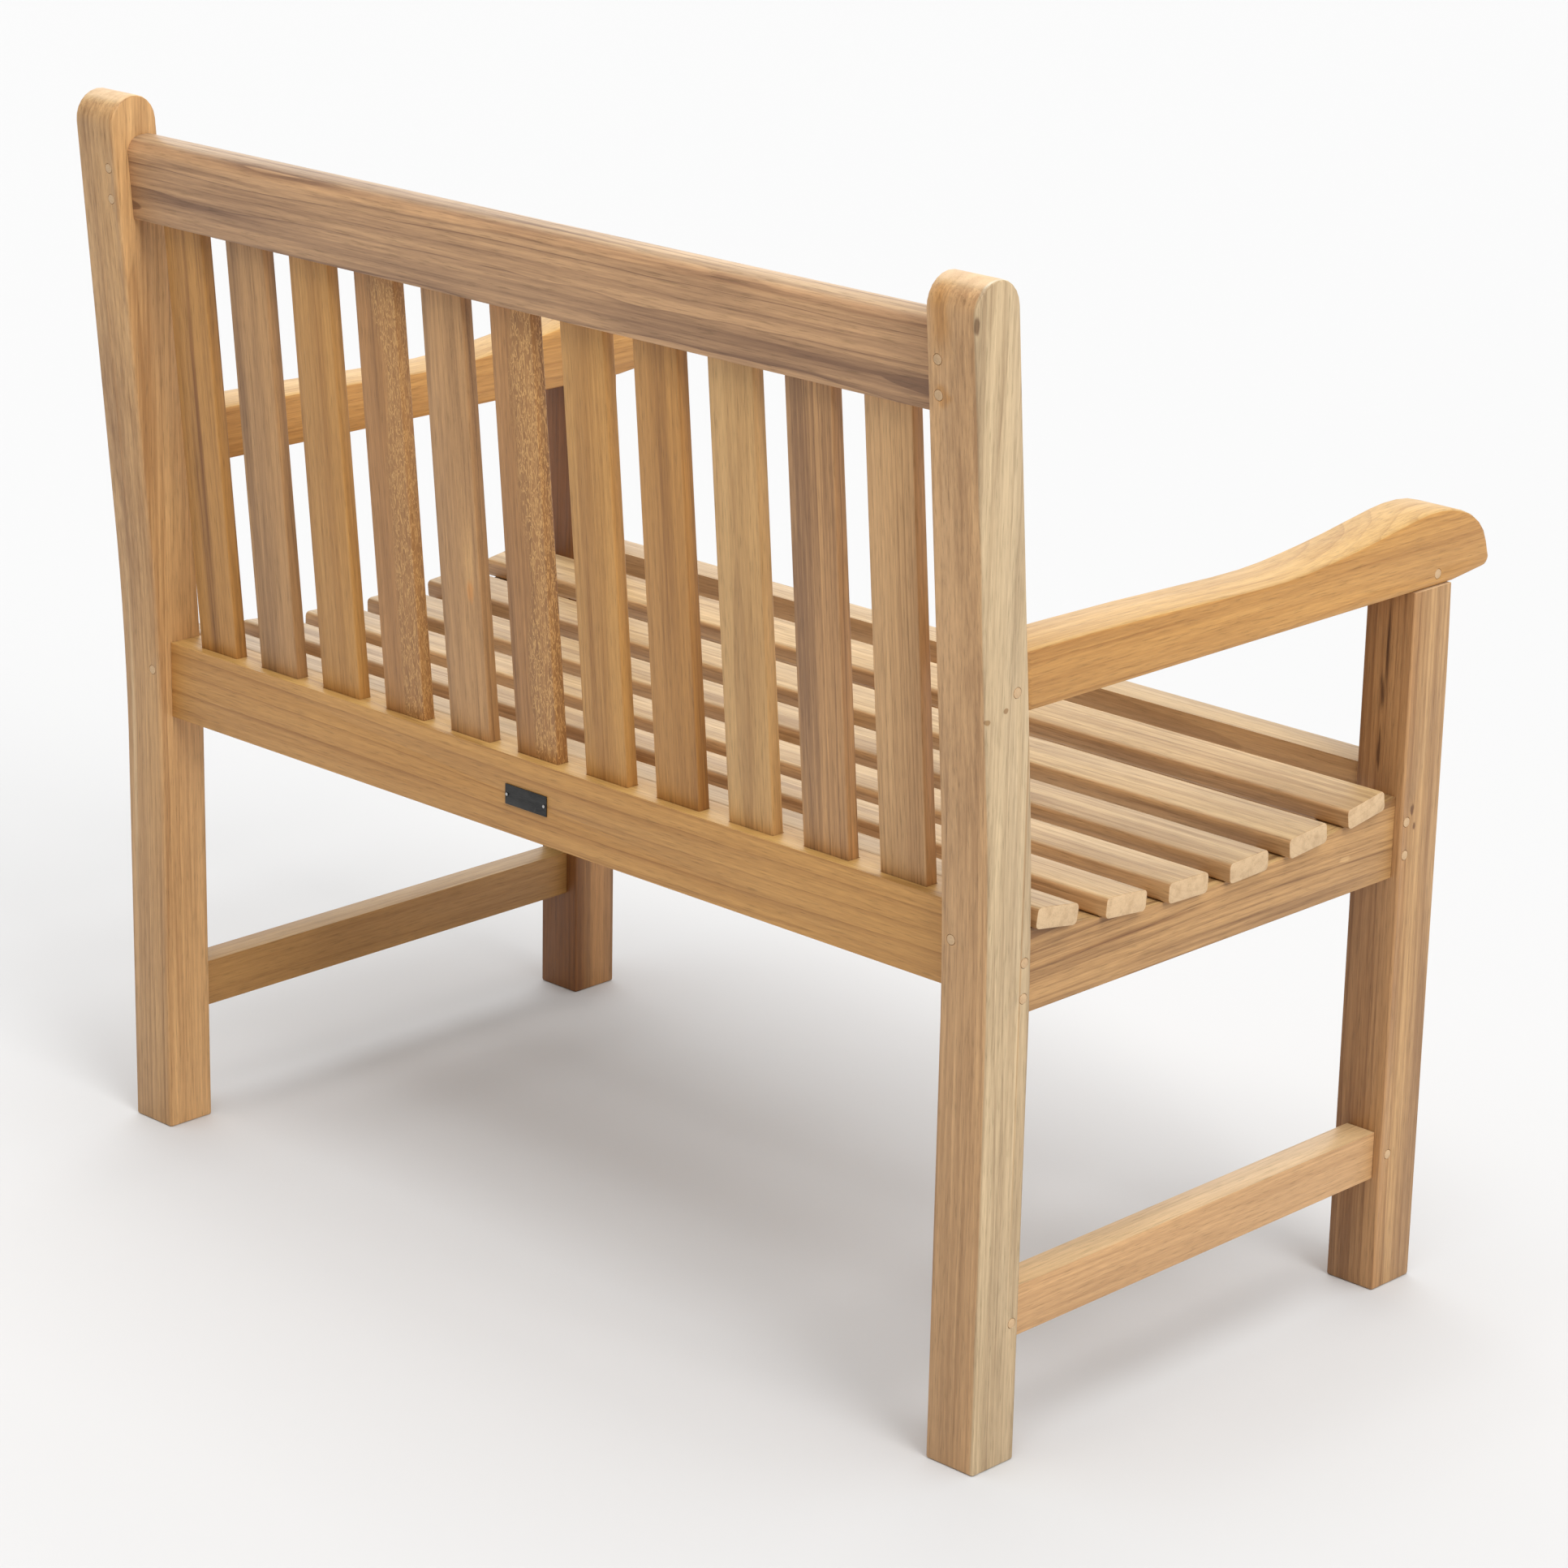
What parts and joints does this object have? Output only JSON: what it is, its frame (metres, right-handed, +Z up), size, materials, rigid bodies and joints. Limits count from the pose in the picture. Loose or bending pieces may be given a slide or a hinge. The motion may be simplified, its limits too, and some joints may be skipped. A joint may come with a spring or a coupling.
{
  "type": "garden bench",
  "caption": "Small wooden garden bench with shaped armrests, a reclined slatted back and a dished slatted seat on a pegged mortise-and-tenon frame.",
  "frame": {"origin": "on the floor, under the middle of the bench's overall outline", "axes": "+Z up, -Y the way the sitter faces, +X to the sitter's left"},
  "size_m": [1, 0.6317, 0.9209],
  "materials": {
    "teak_light": "bare sanded teak, light tan",
    "teak_golden": "bare sanded teak, golden",
    "teak_brown": "bare sanded teak, brown",
    "teak_rose": "bare sanded teak, pinkish grey-brown",
    "peg": "sanded end grain of a teak peg",
    "plate": "dark satin coating, blank",
    "plate_pin": "plain steel"
  },
  "bodies": {
    "root": {"rear_leg_left": "teak_light", "front_leg_left": "teak_brown", "side_seat_rail_left": "teak_golden", "side_stretcher_left": "teak_golden", "armrest_left": "teak_golden", "rear_leg_right": "teak_light", "front_leg_right": "teak_brown", "side_seat_rail_right": "teak_golden", "side_stretcher_right": "teak_golden", "armrest_right": "teak_golden", "back_top_rail": "teak_rose", "back_bottom_rail": "teak_golden", "front_seat_rail": "teak_rose", "centre_seat_bearer": "teak_brown", "back_slat_01": "teak_golden", "back_slat_02": "teak_rose", "back_slat_03": "teak_golden", "back_slat_04": "teak_brown", "back_slat_05": "teak_rose", "back_slat_06": "teak_brown", "back_slat_07": "teak_golden", "back_slat_08": "teak_golden", "back_slat_09": "teak_light", "back_slat_10": "teak_rose", "back_slat_11": "teak_light", "seat_slat_1": "teak_light", "seat_slat_2": "teak_light", "seat_slat_3": "teak_light", "seat_slat_4": "teak_light", "seat_slat_5": "teak_light", "seat_slat_6": "teak_light", "name_plate": "plate", "name_plate_pin_left": "plate_pin", "name_plate_pin_right": "plate_pin", "top_rail_peg_left_1": "peg", "top_rail_peg_left_2": "peg", "bottom_rail_peg_left_1": "peg", "front_rail_peg_left_1": "peg", "side_rail_rear_peg_left_1": "peg", "side_rail_rear_peg_left_2": "peg", "side_rail_front_peg_left_1": "peg", "side_rail_front_peg_left_2": "peg", "stretcher_rear_peg_left_1": "peg", "stretcher_front_peg_left_1": "peg", "arm_rear_peg_left_1": "peg", "arm_front_peg_left_1": "peg", "top_rail_peg_right_1": "peg", "top_rail_peg_right_2": "peg", "bottom_rail_peg_right_1": "peg", "front_rail_peg_right_1": "peg", "side_rail_rear_peg_right_1": "peg", "side_rail_rear_peg_right_2": "peg", "side_rail_front_peg_right_1": "peg", "side_rail_front_peg_right_2": "peg", "stretcher_rear_peg_right_1": "peg", "stretcher_front_peg_right_1": "peg", "arm_rear_peg_right_1": "peg", "arm_front_peg_right_1": "peg"}
  },
  "joints": []
}
